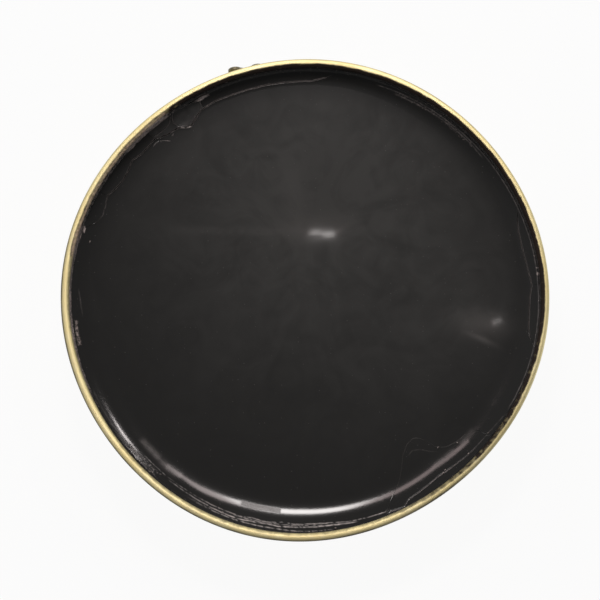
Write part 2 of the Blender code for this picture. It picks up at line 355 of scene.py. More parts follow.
smearChalk = (  # degrees, and how far up the bead the smear has dried to a pale crust, in mm
    (-30, -0.4), (126, -0.4), (127.5, 0.3), (139, 0.32), (141, 0.24), (145, 0.32), (155, 0.32),
    (158, 0.26), (161, 0.24), (163, 0.44), (169, 0.44), (171, -0.04), (200, -0.06), (206, -0.4),
    (330, -0.4),
)
curlLean = (  # degrees, and how far out the bead's crest leans, in mm
    (-30, 0), (135, 0), (150, 0.06), (170, 0), (190, 0), (208, 0.12), (285, 0.13), (300, 0.08),
    (330, 0),
)
paintedShadeRound = (  # degrees, and how dark the bead's outer side is painted: painted shade, darkest on the side away from the lamps
    (-30, 0.55), (-15, 0.4), (0, 0.4), (30, 0.42), (120, 0.42), (150, 0.5), (165, 0.8), (175, 1.0),
    (205, 0.95), (230, 1.0), (305, 1.0), (330, 0.55),
)


def pressLobes(bm):  # moves the rim and what lies along it
    for v in bm.verts:
        r = math.hypot(v.co.x, v.co.y)
        if r > 0:
            turn = math.degrees(math.atan2(v.co.y, v.co.x))
            out = 0
            for count, size, at in tin["lobes"]:
                out += size * math.cos(math.radians(count * (turn - at)))
            out *= mm * ramp(tin["lobesFrom"] * mm, tin["lobesFull"] * mm, r)
            pushOut(v, out / r)


def arcPoints(x, z, radius, first, last, steps):
    turns = [first + (last - first) * i / steps for i in range(steps + 1)]
    return [(x + radius * math.cos(t), z + radius * math.sin(t)) for t in turns]


def squarePoints(x, z, radius, first, last, steps):  # an arc that is a little flat on its four sides
    points = []
    power = tin["beadSquare"]
    for a, b in arcPoints(0, 0, 1, first, last, steps):
        out = radius / (abs(a) ** power + abs(b) ** power) ** (1 / power)
        points.append((x + a * out, z + b * out))
    return points


def panLine(inset):  # the pan's face from the axis to the foot of the wall
    floor = tin["sheet"] + inset
    points = [(0, floor), (12, floor), (24, floor)]
    for i in range(9):
        along = i / 8 - 0.5
        raised = tin["ringHeight"] * math.cos(math.pi * along) ** 2
        points.append((tin["ringAt"] + along * tin["ringWidth"], floor + raised))
    x, z = wallInside - tin["corner"], tin["sheet"] + tin["corner"]
    return points + arcPoints(x, z, tin["corner"] - inset, -math.pi / 2, 0, 8)


def makeTin():
    half = tin["bead"] / 2
    beadR, beadZ = wallInside + half, tin["height"] - half
    curlEnd = math.acos((half - tin["sheet"] - tin["beadGap"]) / half) - math.pi
    inner = [(wallInside, h) for h in tin["insideRings"]]
    outer = [(wallInside + tin["sheet"], h) for h in tin["outsideRings"]]
    outside = squarePoints(beadR, beadZ, half, math.pi, curlEnd, tin["beadSteps"])
    inside = arcPoints(beadR, beadZ, half - tin["sheet"], curlEnd, math.pi, tin["beadSteps"] // 2)
    profile = panLine(0) + inner + outside + inside + outer + panLine(-tin["sheet"])[::-1]
    wallEnd = len(panLine(0)) + len(inner)
    beadEnd = wallEnd + len(outside)
    bm, ring = lathe(profile, tin["turns"])
    wear, smear, grime, chalk, drawn = [], [], [], [], []
    for v in bm.verts:
        x, y, z = v.co / mm
        r = math.hypot(x, y)
        turn = turnOf(x, y)
        v.co.z += tin["waver"] * mm * wobble(x / 9, y / 9, 3.1) * ramp(10, 17, z)
        onBead = wallEnd <= v[ring] < beadEnd
        lean = math.degrees(math.atan2(r - beadR, z - beadZ))  # 0 on the crest, positive outwards
        up = readTable(smearChalk, turn) + 0.1 * wobble(x / 1.1, y / 1.1, 6.2)
        chalk.append(0.9 * ramp(up + 0.12, up - 0.12, r - wallInside))
        drawn.append(1 if v[ring] >= beadEnd else 0)
        worn = 0.35 * ramp(40, 10, abs(lean)) * (0.6 + 0.4 * wobble(x / 6, y / 6, 1.7))
        wear.append(worn if onBead else 0)
        if v[ring] < wallEnd or onBead and lean < 0:
            ragged = 0.1 * wobble(x / 2.2, y / 2.2, 9.4) + 0.05 * wobble(x / 0.7, y / 0.7, 2.4)
            edge = readTable(smearUp, turn) + ragged
            covered = ramp(edge + 0.22, edge - 0.16, r - wallInside) * ramp(13, 14, z)
            smear.append(readTable(smearDepth, turn) * covered)
        else:
            smear.append(0)
        # on the bead the grime mark is painted shade on its outer side; on the wall it is random stains
        # plus painted shade
        if onBead:
            grime.append(readTable(paintedShadeRound, turn) * ramp(20, 45, lean))
        else:
            stainAndShade = 0.16 + 0.08 * wobble(x / 14, y / 14, z / 9)
            stainAndShade += 0.3 * ramp(3.5, 0.5, z) + 0.3 * ramp(14, 16.5, z)  # painted shade at the foot and under the bead
            grime.append(stainAndShade if v[ring] >= beadEnd else 0)
        if v[ring] >= wallEnd and z > beadZ:
            pushOut(v, readTable(curlLean, turn) * ((z - beadZ) / half) ** 2 / r)
    pressLobes(bm)
    marks = dict(wear=wear, smear=smear, grime=grime, chalk=chalk, drawn=drawn)
    piece = makePiece("tinShell", bm, goldLacquer, marks, 60)
    settle(piece, "tin", "gold_lacquered_tinplate", "tin_base")


makeTin()
print("tin made")


# wax: level in the middle, climbing to the wall, cracked along it

wax = dict(
    level=14.4, edge=wallInside - 0.12, lip=0.12, rise=0.05, riseWidth=0.35, crustBottom=12.95, turns=840,
    ripple=0.016, rippleSize=8.0, palesFrom=0.12, palest=0.02, smudgeHeight=0.05,
)
climbFrom = (  # degrees, and the radius where the wax starts to climb
    (-30, 39.05), (-15, 40.1), (0, 40.9), (30, 41.6), (60, 42.1), (80, 42.7), (160, 42.7), (172, 41.6),
    (186, 38.9), (210, 39.0), (217, 39.1), (231, 39.0), (236, 38.7), (242, 38.65), (249, 38.5),
    (256, 38.3), (263, 38.3), (270, 38.3), (277, 38.45), (283, 38.57), (289, 38.72), (295, 38.85),
    (307, 38.65), (313, 38.95), (319, 39.3), (330, 39.05),
)
climbBend = (  # degrees, and how fast the slope grows, per mm
    (-30, 0.0814), (0, 0.119), (30, 0.15), (60, 0.17), (80, 0.21), (160, 0.21), (172, 0.155),
    (186, 0.0814), (330, 0.0814),
)
climbSteepest = (  # degrees, and the slope at which it stops growing
    (-30, 0.32), (0, 0.5), (180, 0.55), (222, 0.45), (232, 0.36), (318, 0.36), (330, 0.34),
)
dents = (  # x, y, half length, half width, turn in degrees, depth
    (3.4, 15.1, 4.1, 3.2, 2, 0.322),
    (4.8, 13.7, 1.3, 1.0, 4, 0.009),
    (1.9, 12.7, 1.3, 0.5, 8, -0.01),
    (36.8, -2.75, 2.1, 2.4, 24, 0.35),
    (34.4, -7.4, 3.2, 0.7, -28, 0.04),
)
dentFar = 2.6  # each dent's far side is this much wider than its near side
dentEnd = 4  # and it ends at this many half lengths
# painted sheen: its middle and spread, fading out towards the wall
bloom = dict(at=(3.0, 20.0), spread=(34.0, 35.0), fadeFrom=38.5, fadeTo=45.0)
paintedSheenStreaks = (  # painted sheen streaks and spots around the highlights: x, y, half length, half width, turn in degrees, strength
    (-7.5, 13.2, 9.0, 0.5, 1, 0.24), (-19.0, 13.6, 7.0, 0.7, -3, 0.16),
    (0.6, 14.6, 4.2, 1.6, -25, 0.28), (9.0, 12.8, 4.0, 0.6, -14, 0.1),
    (-2.0, 21.0, 2.0, 8.0, 12, 0.14), (33.6, -4.2, 5.0, 2.6, -8, 0.52),
    (37.0, -3.6, 1.8, 1.2, 20, 0.4), (34.2, -8.0, 3.0, 0.5, -26, 0.5),
    (31.0, -1.0, 14.0, 12.0, 0, 0.22), (19.0, -20.0, 14.0, 14.0, 0, 0.1),
)
# where each crack runs, in degrees and mm in from the wall, its gap, the lift of the crust's edge and
# how pale that edge is painted, a painted highlight where it catches the lamps, with a rounding, a rise
# of the cake or a painted sheen of its own where it needs one
crackLines = {
    "crust_right_lower": dict(
        line=((-12.0, 0.25), (-9.8, 1.4), (-7.4, 1.95), (-2.7, 2.09), (0.3, 2.01), (3.4, 1.57)),
        gap=0.06, lift=0.02, pale=0.25),
    "crust_right_upper": dict(
        line=((3.4, 1.57), (8.2, 2.03), (13.2, 2.21), (17.4, 1.98), (20.8, 1.3), (23.3, 0.25)),
        gap=0.06, lift=0.02, pale=0.25),
    "crust_top": dict(
        line=((82.0, 0.25), (85.0, 1.35), (88.5, 2.05), (94.6, 2.15), (100.6, 2.11), (107.5, 2.16),
              (115.4, 2.1), (117.9, 2.3)),
        gap=0.1, lift=0.02, pale=0.42),
    "crust_chip": dict(
        line=((117.9, 2.3), (119.0, 2.5), (120.8, 3.15), (122.6, 4.0), (123.6, 4.22), (124.5, 4.03),
              (125.6, 3.45), (126.5, 3.0)),
        gap=0.14, lift=0.07, pale=0.26, bloom=0.62),
    "crust_sliver": dict(
        line=((126.5, 3.0), (127.7, 2.95), (129.9, 2.81), (131.6, 2.32), (133.2, 1.8)),
        gap=0.12, lift=0.0, pale=0.16, bloom=0.5),
    "crust_scallop_high": dict(
        line=((133.2, 1.8), (135.1, 2.1), (138.1, 2.2), (141.0, 1.7)),
        gap=0.1, lift=0.03, pale=0.2),
    "crust_scallop_middle": dict(
        line=((141.0, 1.7), (143.5, 2.27), (146.6, 2.64), (149.5, 2.34), (152.2, 1.72)),
        gap=0.09, lift=0.04, pale=0.19),
    "crust_scallop_low": dict(
        line=((152.2, 1.72), (154.9, 2.36), (157.4, 2.6), (159.2, 2.2), (160.8, 1.3), (162.0, 0.25)),
        gap=0.03, lift=0.008, pale=0.13, lip=0.05, rise=0.02),
    "crust_lower_right": dict(
        line=((291.2, 0.25), (292.0, 1.6), (293.6, 2.92), (297.7, 5.57), (300.3, 7.93), (302.0, 9.45),
              (305.0, 10.83), (308.0, 11.11), (309.6, 10.21), (310.8, 8.72), (311.3, 7.24),
              (313.5, 5.65), (316.8, 4.9), (319.7, 4.59), (321.7, 3.63), (322.7, 2.9), (323.6, 0.25)),
        gap=0.012, lift=0.0, pale=0.065, lip=0.03, rise=0.0),
}
# lines of dried wax: degrees and reach in from the wall, then width, height and paleness,
# how much a line is broken up, and what is left of it on the tin's left side
threads = (
    dict(line=((224.5, 1.95), (240.8, 1.93), (249, 1.8), (254.4, 1.68), (257.1, 1.98), (260.9, 1.69),
               (264.7, 2.06), (268.1, 1.8), (272.3, 1.85), (277, 1.73), (281.3, 1.34), (292.3, 0.91)),
         width=0.075, height=0.004, pale=0.55, broken=1.4, early=0.3),
    dict(line=((233.7, 1.59), (240.8, 1.5), (249, 1.25), (254.6, 1.12), (256.8, 1.3), (261.3, 1.4),
               (264.1, 1.21), (270.4, 1.26), (276.9, 1.21), (284, 0.9)),
         width=0.085, height=0.004, pale=0.95, broken=1.2, early=0.25),
    dict(line=((230, 1.05), (240, 0.95), (254, 0.78), (260.9, 0.76), (264.9, 0.68), (270.3, 0.4),
               (278, 0.34)),
         width=0.08, height=0.004, pale=0.6, broken=2.0, early=0.0),
    dict(line=((226, 1.3), (236, 1.25), (246, 1.0), (252, 1.55), (262, 1.62), (272, 1.55), (282, 1.1)),
         width=0.07, height=0.002, pale=0.4, broken=2.0, early=0.0),
    dict(line=((290.3, 0.95), (293.3, 0.59), (295.3, 0.3), (297.4, 1.28), (302.1, 1.69), (306.1, 2.01),
               (309.5, 1.85), (312.9, 1.62), (316.3, 1.34), (323.5, 1.11), (329.9, 0.5)),
         width=0.08, height=0.04, pale=0.08),
    dict(line=((-29.3, 0.5), (-17.5, 0.32), (-7.7, 0.36), (2.3, 0.41), (12.2, 0.36), (24.3, 0.42),
               (40.3, 0.41), (52.4, 0.56), (64.5, 0.7), (72.6, 0.77)),
         width=0.085, height=0.05, pale=0.145),
    dict(line=((38.3, 0.93), (44.4, 0.84), (50.4, 0.96), (58.5, 1.04), (66.6, 1.24)),
         width=0.09, height=0.05, pale=0.12),
    dict(line=((177.2, 1.5), (178.7, 1.72), (181, 2.01), (183.6, 2.22), (185, 2.3)),
         width=0.09, height=0.02, pale=0.09),
    dict(line=((203, 0.71), (210.1, 0.71), (218.3, 0.91), (226.5, 1.14)),
         width=0.12, height=0.0, pale=0.05),
    dict(line=((303, 8.8), (305.3, 9.25), (307.5, 8.5), (309.4, 7.0), (311.5, 5.75)),
         width=0.1, height=0.01, pale=0.07),
)
smudges = (  # dry patches: degrees from and to, reach from and to, dryness, softness of the edge
    (220.5, 231.5, 0.35, 1.45, 0.17, 0.25),
    (185.7, 192.3, 0.63, 1.2, 0.62, 0.2),
    (115.1, 119.2, 0.05, 0.66, 0.72, 0.12),
    (161.5, 168.5, 0.05, 0.3, 0.55, 0.12),
    (42.4, 66.6, 0.42, 1.23, 0.14, 0.3),
)
scuffs = (  # smooth dull films, given in the same way, with their paleness
    (253.3, 264.3, 3.7, 4.6, 0.085, 0.06),
    (221.5, 228.5, 3.25, 4.15, 0.065, 0.8),
    (229.0, 235.0, 2.7, 4.0, 0.032, 0.9),
    (308.0, 314.5, 3.6, 4.6, 0.028, 0.5),
    (317.0, 322.0, 3.5, 4.4, 0.04, 0.6),
)
paintedGlowSpots = (  # painted highlight glows away from the wall, pale spots around the lamps' reflections: x, y, half length, half width, turn in degrees, paleness
    (34.6, -5.2, 4.6, 2.7, -8, 0.032), (34.6, -7.8, 2.6, 0.42, -25, 0.036),
    (2.0, 14.0, 7.0, 2.6, 4, 0.026), (-7.0, 13.3, 6.5, 0.7, 2, 0.007),
    (-20.0, 13.7, 5.0, 1.0, -5, 0.006), (-2.0, 21.0, 2.6, 7.0, 12, 0.01),
    (6.8, 13.6, 1.8, 0.5, 25, 0.016),
)


def inOval(x, y, oval):  # a place in shares of an oval's half length and half width
    u, v = x - oval[0], y - oval[1]
    c, s = math.cos(math.radians(oval[4])), math.sin(math.radians(oval[4]))
    return (u * c + v * s) / oval[2], (v * c - u * s) / oval[3]


def waxHeight(x, y):
    r = math.hypot(x, y)
    turn = turnOf(x, y)
    start = readTable(climbFrom, turn)
    z = wax["level"]
    if r > start:
        bend, steepest = readTable(climbBend, turn), readTable(climbSteepest, turn)
        curved = min(r - start, steepest / bend)
        z += bend / 2 * curved**2 + steepest * (r - start - curved)
    calm = 1 - ramp(33, 40, r)
    if calm > 0:
        swirl = Vector((x, y, 3.2)) / wax["rippleSize"]
        bent = swirl + 0.9 * noise.noise_vector(swirl * 0.55)
        z += wax["ripple"] * calm * (noise.noise(bent) + 0.35 * noise.noise(bent * 2.7))
    for dent in dents:
        if max(abs(x - dent[0]), abs(y - dent[1])) < dentEnd * dent[2]:
            a, b = inOval(x, y, dent)
            b /= dentFar if b > 0 else 1
            z -= dent[5] * math.exp(-(a**4) - b * b)
    return z


def spotAt(x, y, spot):  # a soft oval spot
    a, b = inOval(x, y, spot)
    return spot[5] * math.exp(-a * a - b * b)


def paintedSheenAt(x, y):  # painted sheen: a paler wax colour laid where the lamps' glow shows on the wax
    a, b = (x - bloom["at"][0]) / bloom["spread"][0], (y - bloom["at"][1]) / bloom["spread"][1]
    value = math.exp(-a * a - b * b)
    value += sum(spotAt(x, y, spot) for spot in paintedSheenStreaks)
    return min(1, value * ramp(bloom["fadeTo"], bloom["fadeFrom"], math.hypot(x, y)))


def patchAt(patch, turn, reach, r):  # a patch's strength within it, 0 outside
    first, last, low, high, strength, soft = patch
    if not first - 1 < turn < last + 1:
        return 0
    side = math.degrees(soft / r)
    strength *= ramp(first - side, first + side, turn) * ramp(last + side, last - side, turn)
    return strength * ramp(low - soft, low + soft, reach) * ramp(high + soft, high - soft, reach)


def rimMarks(x, y):  # lift in mm, dryness and paleness, near the wall; the paleness also carries painted highlight glows, which reach away from the wall
    r = math.hypot(x, y)
    reach = wallInside - r
    paintedGlow = sum(spotAt(x, y, spot) for spot in paintedGlowSpots)
    if reach > 12:
        return 0, 0, paintedGlow
    turn = turnOf(x, y)
    lift, dry, pale = 0, 0, 0
    for thread in threads:
        line = thread["line"]
        (first, firstReach), last = line[0], line[-1][0]
        if not first <= turn <= last:
            continue
        fade = min(2, (last - first) / 4)
        ends = ramp(0, fade, turn - first) * ramp(0, fade, last - turn)
        at = readTable(line, turn)
        at += 0.05 * wobble(turn * 0.9, first) + 0.03 * wobble(turn * 2.7, firstReach)
        near = math.exp(-(((reach - at) / thread["width"]) ** 2)) * ends
        patchy = 0.8 + 0.8 * wobble(turn * 1.3, 7.7, first)
        if "broken" in thread:
            patchy = 0.6 + thread["broken"] * wobble(turn * 1.5, 7.7, first + firstReach)
            patchy *= thread["early"] + (1 - thread["early"]) * ramp(239, 254, turn)
        lift += thread["height"] * near
        pale = max(pale, thread["pale"] * near * max(0, patchy))
    for patch in smudges:
        smudged = patchAt(patch, turn, reach, r)
        if smudged > 0:
            rough = 0.75 + 0.5 * wobble(turn * 1.1, reach * 4, patch[0])
            smudged *= max(0, rough + 0.35 * wobble(turn * 4, reach * 9, patch[1]))
            dry = max(dry, smudged)
            lift += wax["smudgeHeight"] * smudged
    for patch in scuffs:
        uneven = 1 + 0.4 * wobble(turn * 1.3, reach * 4, patch[0])
        pale = max(pale, uneven * patchAt(patch, turn, reach, r))
    return lift, min(1, dry), min(1, pale + paintedGlow)


def crackReach(shape, turn):  # how far in the crack runs here, and how open it is
    reach = readTable(shape["line"], turn)
    opened = ramp(0.3, 1.3, reach)
    jag = 0.045 * wobble(turn * 2.1, 3.3) + 0.03 * wobble(turn * 6.0, 5.1)
    return reach + jag * opened, opened


def paintedEdgeHighlight(shape, turn, opened, away, uneven):  # a painted highlight along the crack's broken edge, where it catches the lamps; it fades out at the wall
    pale = shape["pale"] * opened * ramp(wax["palesFrom"], wax["palest"], away) * (0.75 + 0.6 * uneven)
    for end, reach in (shape["line"][0], shape["line"][-1]):
        if reach < 0.3:
            pale *= ramp(1, 5, abs(turn - end))
    return pale


def crackAt(turn):
    for shape in crackLines.values():
        if shape["line"][0][0] <= turn <= shape["line"][-1][0]:
            return shape
    return None


def addMarks(marks, dry=0, pale=0, paintedSheenShare=0):
    for mark, value in (("dry", dry), ("pale", pale), ("bloom", paintedSheenShare)):
        marks.setdefault(mark, []).append(value)


def settleWax(name, bm, marks, *nodes):
    bmesh.ops.recalc_face_normals(bm, faces=bm.faces)
    pressLobes(bm)
    settle(makePiece(name, bm, blackWax, marks), "tin", "black_wax", *nodes)


def lipDrop(inFromEdge, lip):
    if inFromEdge >= lip:
        return 0
    return lip - math.sqrt(lip * lip - (lip - inFromEdge) ** 2)


lipSteps = (1.0, 0.67, 0.38, 0.15, 0.0)  # shares of the lip, in from a crack's edge
cakeRings = (  # radius, and how far apart the rings of points lie up to there
    (12, 0.7), (15.6, 0.22), (18, 0.8), (33, 1.6), (38.6, 0.65), (40.6, 0.3), (42.6, 0.17),
    (45.45, 0.085),
)


def makeCake():
    radii = [0, 1.2, 2.5, 3.8, 5.1, 6.4, 7.7, 9.0, 10.0]
    for last, step in cakeRings:
        while radii[-1] < last - step / 2:
            radii.append(radii[-1] + step)
    tops = len(radii)
    edge = wax["edge"]
    fixed = 30.0  # rings outside this radius shift to follow the cracks
    span = radii[-1] - fixed
    side = [(edge, 15), (edge - 0.02, 12.6)]
    under = [(edge, 12.5), (edge, 9), (edge, 4), (44.7, 1.1), (43.4, 0.55)]
    under += [(37.6, 0.55), (36, 1.1), (34.4, 0.55), (0, 0.55)]
    profile = [(r, 16) for r in radii] + [(edge - 0.1 * d, 15.9 - d) for d in lipSteps[1:]] + side + under
    bm, ring = lathe(profile, wax["turns"])
    sideAt = tops + len(lipSteps) - 1
    marks = {}
    for v in bm.verts:
        number = v[ring]
        turn = turnOf(v.co.x, v.co.y)
        if number >= sideAt + len(side):
            addMarks(marks)
            continue
        shape = crackAt(turn)
        rim, opened, lip, rise = edge, 1, wax["lip"], 0
        if shape:
            reach, opened = crackReach(shape, turn)
            rim = min(edge, wallInside - reach - shape["gap"] / 2 * opened)
            lip = max(0.01, shape.get("lip", wax["lip"]) * opened)
            rise = shape.get("rise", wax["rise"]) * opened
        if number < tops:
            r = radii[number]
            if r > fixed:
                r = fixed + (r - fixed) * (rim - lip - fixed) / span
        else:
            r = rim - lip * (lipSteps[number - tops + 1] if number < sideAt else 0)
        x, y = around(turn, r)
        lift, dry, pale = rimMarks(x, y)
        z = waxHeight(x, y) + lift - lipDrop(rim - r, lip)
        if shape:
            z += rise * math.exp(-(((rim - r) / wax["riseWidth"]) ** 2))
            pale = max(pale, paintedEdgeHighlight(shape, turn, opened, rim - r, wobble(turn * 1.7, 2.2)))
        if number >= sideAt:
            z = (wax["level"] - 0.5, wax["crustBottom"] - 0.3)[number - sideAt]
        v.co = Vector((x, y, z)) * mm
        addMarks(marks, dry, pale, paintedSheenAt(x, y))
    settleWax("polishCake", bm, marks, "polish_cake")


def makeCrust(node, shape):
    first, last = shape["line"][0][0], shape["line"][-1][0]
    endGap = 0.02  # degrees
    count = int(10 + 8 * max(reach for turn, reach in shape["line"]))
    tops = [(d, 0) for d in lipSteps[::-1]] + [(1, (i + 1) / count) for i in range(count)]
    profile = [(42 + 0.02 * i, 16) for i in range(len(tops))] + [(45.9, 13), (42, 13)]  # moved below
    steps = max(10, round((last - first) * wax["turns"] / 360))
    bm, ring = lathe(profile + profile[:1], steps, first + endGap, last - endGap)
    outer = wax["edge"] - 0.02
    marks = {}
    for v in bm.verts:
        number = v[ring] % len(profile)
        turn = turnOf(v.co.x, v.co.y)
        reach, opened = crackReach(shape, turn)
        rim = min(outer - 0.05, wallInside - reach + shape["gap"] / 2 * opened)
        lip = min(max(0.01, shape.get("lip", wax["lip"]) * opened), (outer - rim) / 2)
        low = number >= len(tops)
        if low:
            r = outer if number == len(tops) else rim
        else:
            lipShare, topShare = tops[number]
            r = rim + lip * lipShare + (outer - rim - lip) * topShare
        x, y = around(turn, r)
        lift, dry, pale = rimMarks(x, y)
        across = (r - rim) / (outer - rim)
        z = waxHeight(x, y) + lift + shape["lift"] * opened * (1 - across) ** 2 - lipDrop(r - rim, lip)
        # painted sheen on the crust, as on the cake
        paintedGlow = max(paintedSheenAt(x, y), shape.get("bloom", 0) * (0.8 + 0.5 * wobble(x, y, 2.6)))
        pale = max(pale, paintedEdgeHighlight(shape, turn, opened, r - rim, wobble(turn * 1.9, 8.1)))
        v.co = Vector((x, y, wax["crustBottom"] if low else z)) * mm
        addMarks(marks, *((0, 0, 0) if low else (dry, pale, paintedGlow)))
    words = node.split("_")
    settleWax(words[0] + "".join(w.capitalize() for w in words[1:]), bm, marks, node)


makeCake()
print("cake made")
for crustNode, crustShape in crackLines.items():
    makeCrust(crustNode, crustShape)
print("crust made")


# residue: wax left on the wall where the level has dropped

residue = dict(  # its top edge, how far in it reaches, and how dry and pale it is, all by degrees
    turns=840, foot=14.7, toWall=0.005, toWax=0.015,
    top=((-30, 16.9), (0, 17.1), (63, 17.2), (118, 17.15), (126, 17.1), (140, 17.1), (155, 17.1),
         (161, 17.1), (163, 17.2), (168, 17.2), (171, 16.7), (200, 16.7), (222, 17.0), (278, 17.0),
         (300, 16.9), (330, 16.9)),
    inward=((-30, 0.26), (63, 0.26), (118, 0.3), (128, 0.24), (138, 0.22), (142, 0.13), (155, 0.12),
            (161, 0.13), (163, 0.17), (168, 0.19), (170.5, 0.2), (186, 0.35), (200, 0.3), (222, 0.42),
            (278, 0.4), (290, 0.28), (330, 0.26)),
    dry=((-30, 0.05), (0, 0.08), (40, 0.08), (63, 0.03), (118, 0.06), (126, 0.15), (128.5, 0.9),
         (138, 0.85), (140, 0.3), (145, 0.25), (155, 0.25), (157, 0.2), (161, 0.2), (162.5, 0.6),
         (168.5, 0.6), (171, 0.5), (178, 0.75), (192, 0.75), (200, 0.5), (210, 0.06), (240, 0.06),
         (278, 0.08), (285, 0.06), (330, 0.05)),
    pale=((-30, 0), (126, 0), (127.5, 0.95), (139, 0.9), (141, 0.25), (160, 0.2), (163, 0.5),
          (169, 0.5), (171, 0.32), (200, 0.28), (206, 0), (330, 0)),
)


def makeResidue():
    inside = wallInside - residue["toWall"]
    shares = (0, 0, 0.12, 0.35, 0.62, 0.97, 0.9)  # how far in each point of the section lies
    drops = (1, 0, 0.07, 0.45, 0.8, 1.0, 1)  # how far down from its top edge
    profile = [(inside - 0.4 * s, 17 - d) for s, d in zip(shares, drops)]
    bm, ring = lathe(profile + profile[:1], residue["turns"])
    dry, pale = [], []
    for v in bm.verts:
        number = v[ring] % len(profile)
        turn = turnOf(v.co.x, v.co.y)
        top = readTable(residue["top"], turn) + 0.12 * wobble(turn * 0.8, 1.1)
        top += 0.1 * wobble(turn * 2.6, 4.2) + 0.06 * wobble(turn * 7, 6.3)
        inward = readTable(residue["inward"], turn)
        inward *= 1 + 0.25 * wobble(turn * 1.4, 8.8) + 0.15 * wobble(turn * 5, 2.9)
        foot = waxHeight(*around(turn, inside - inward)) + residue["toWax"]
        r = inside - inward * shares[number]
        z = top + (foot - top) * drops[number] + 0.03 * wobble(turn * 3.1, number * 1.7)
        if number in (0, len(profile) - 1):
            z = residue["foot"]
        v.co = Vector((*around(turn, r), z)) * mm
        patchy = 0.8 + 0.5 * wobble(turn * 1.2, number * 0.6, 5.5)
        patchy += 0.3 * wobble(turn * 5, number * 0.9, 3.5)
        dry.append(max(0, readTable(residue["dry"], turn) * patchy))
        holes = ramp(-0.35, 0.1, wobble(turn * 2.2, number * 0.8, 1.5))
        speckled = 0.55 + 0.9 * wobble(turn * 3.3, number * 2.1, 7.7)
        chalky = 0.95 * readTable(residue["pale"], turn)
        pale.append(max(0, chalky * holes * speckled * ramp(6, 3, number)))
    settleWax("wallResidue", bm, {"dry": dry, "pale": pale})


makeResidue()
print("residue made")


# crumbs: loose bits of dried wax

crumbs = (  # degrees, reach in from the wall, length, width, height, dryness
    (5.9, 0.3, 0.3, 0.2, 0.16, 0.95), (10.5, 0.34, 0.14, 0.1, 0.1, 0.7),
    (7.4, 0.32, 0.16, 0.1, 0.1, 0.75), (-0.7, 0.4, 0.12, 0.09, 0.1, 0.6),
    (14.7, 0.34, 0.12, 0.09, 0.09, 0.6), (-9.2, 0.36, 0.13, 0.1, 0.1, 0.6),
    (311.8, 6.64, 0.22, 0.13, 0.12, 0.9), (316.6, 4.6, 0.17, 0.15, 0.14, 0.85),
    (316.4, 1.37, 0.17, 0.14, 0.14, 0.85), (162.6, 0.45, 0.75, 0.24, 0.16, 0.95),
    (164.9, 2.12, 0.2, 0.13, 0.12, 0.75), (186.4, 0.96, 0.45, 0.2, 0.14, 0.8),
    (189.2, 0.82, 0.5, 0.22, 0.14, 0.8), (191.6, 0.98, 0.35, 0.16, 0.12, 0.7),
    (128.7, 3.58, 0.35, 0.18, 0.1, 0.25), (117.2, 0.42, 1.45, 0.42, 0.16, 0.95),
    (278.1, 0.54, 0.2, 0.14, 0.14, 0.8), (308.3, 1.86, 0.35, 0.12, 0.12, 0.9),
    (309.3, 2.15, 0.22, 0.1, 0.1, 0.85), (323.5, 1.11, 0.14, 0.1, 0.1, 0.6),
)
flakeEdges = (  # ridges along edges of broken crust, painted pale as a painted highlight where they catch the lamps: width, height and paleness, then points along each in mm
    (0.2, 0.12, 0.15,
     ((-21.04, 39.69), (-20.71, 38.47), (-21.03, 37.2), (-21.69, 35.91), (-22.24, 35.34))),
    (0.34, 0.16, 0.8, ((-22.45, 34.55), (-22.95, 34.36), (-23.5, 34.23))),
    (0.28, 0.15, 0.62, ((-23.9, 34.22), (-24.35, 34.27), (-24.75, 34.36))),
    (0.18, 0.12, 0.16,
     ((-25.0, 34.48), (-25.47, 34.72), (-26.21, 35.25), (-26.46, 36.2), (-26.37, 36.9))),
    (0.16, 0.1, 0.1, ((-26.37, 36.9), (-25.16, 37.73), (-23.88, 38.54), (-22.09, 39.38))),
    (0.18, 0.1, 0.14,
     ((-26.73, 36.43), (-26.93, 35.15), (-27.8, 33.89), (-29.07, 32.95), (-29.92, 32.37))),
    (0.2, 0.1, 0.2, ((-25.62, 33.8), (-26.35, 33.42), (-26.81, 33.3))),
    (0.18, 0.09, 0.14, ((-26.35, 33.42), (-26.19, 32.78))),
    (0.6, 0.02, 0.08, ((-30.1, 30.36), (-29.63, 31.07), (-28.85, 31.62))),
    (0.17, 0.1, 0.55, ((-28.95, 31.58), (-27.46, 31.6), (-26.55, 31.53))),
)


def addRidge(bm, width, height, line):  # a low ridge along a line on the wax
    lengths = [math.dist(a, b) for a, b in zip(line, line[1:])]
    whole = sum(lengths)
    ends = [sum(lengths[:i]) for i in range(len(line))]
    made = bmesh.ops.create_grid(bm, x_segments=max(4, round(whole / 0.2)), y_segments=3, size=1)["verts"]
    for v in made:
        along = (v.co.x + 1) / 2 * whole
        part = max(i for i in range(len(lengths)) if ends[i] <= along + 1e-6)
        share = (along - ends[part]) / lengths[part]
        (x, y), (u, w) = line[part], line[part + 1]
        way = ((u - x) / lengths[part], (w - y) / lengths[part])
        x, y = x + (u - x) * share, y + (w - y) * share
        taper = 0.25 + 0.75 * ramp(0, 0.25, along) * ramp(0, 0.25, whole - along)
        taper *= 1 + 0.4 * wobble(x * 2.5, y * 2.5, 4.4)
        corner = round((v.co.y + 1) / 2 * 3) % 3
        aside = (-0.5, 0, 0.5)[corner] * width * taper
        lift = height * taper if corner == 1 else -0.06
        x, y = x - way[1] * aside, y + way[0] * aside
        v.co = Vector((x, y, waxHeight(x, y) + lift))
    return made


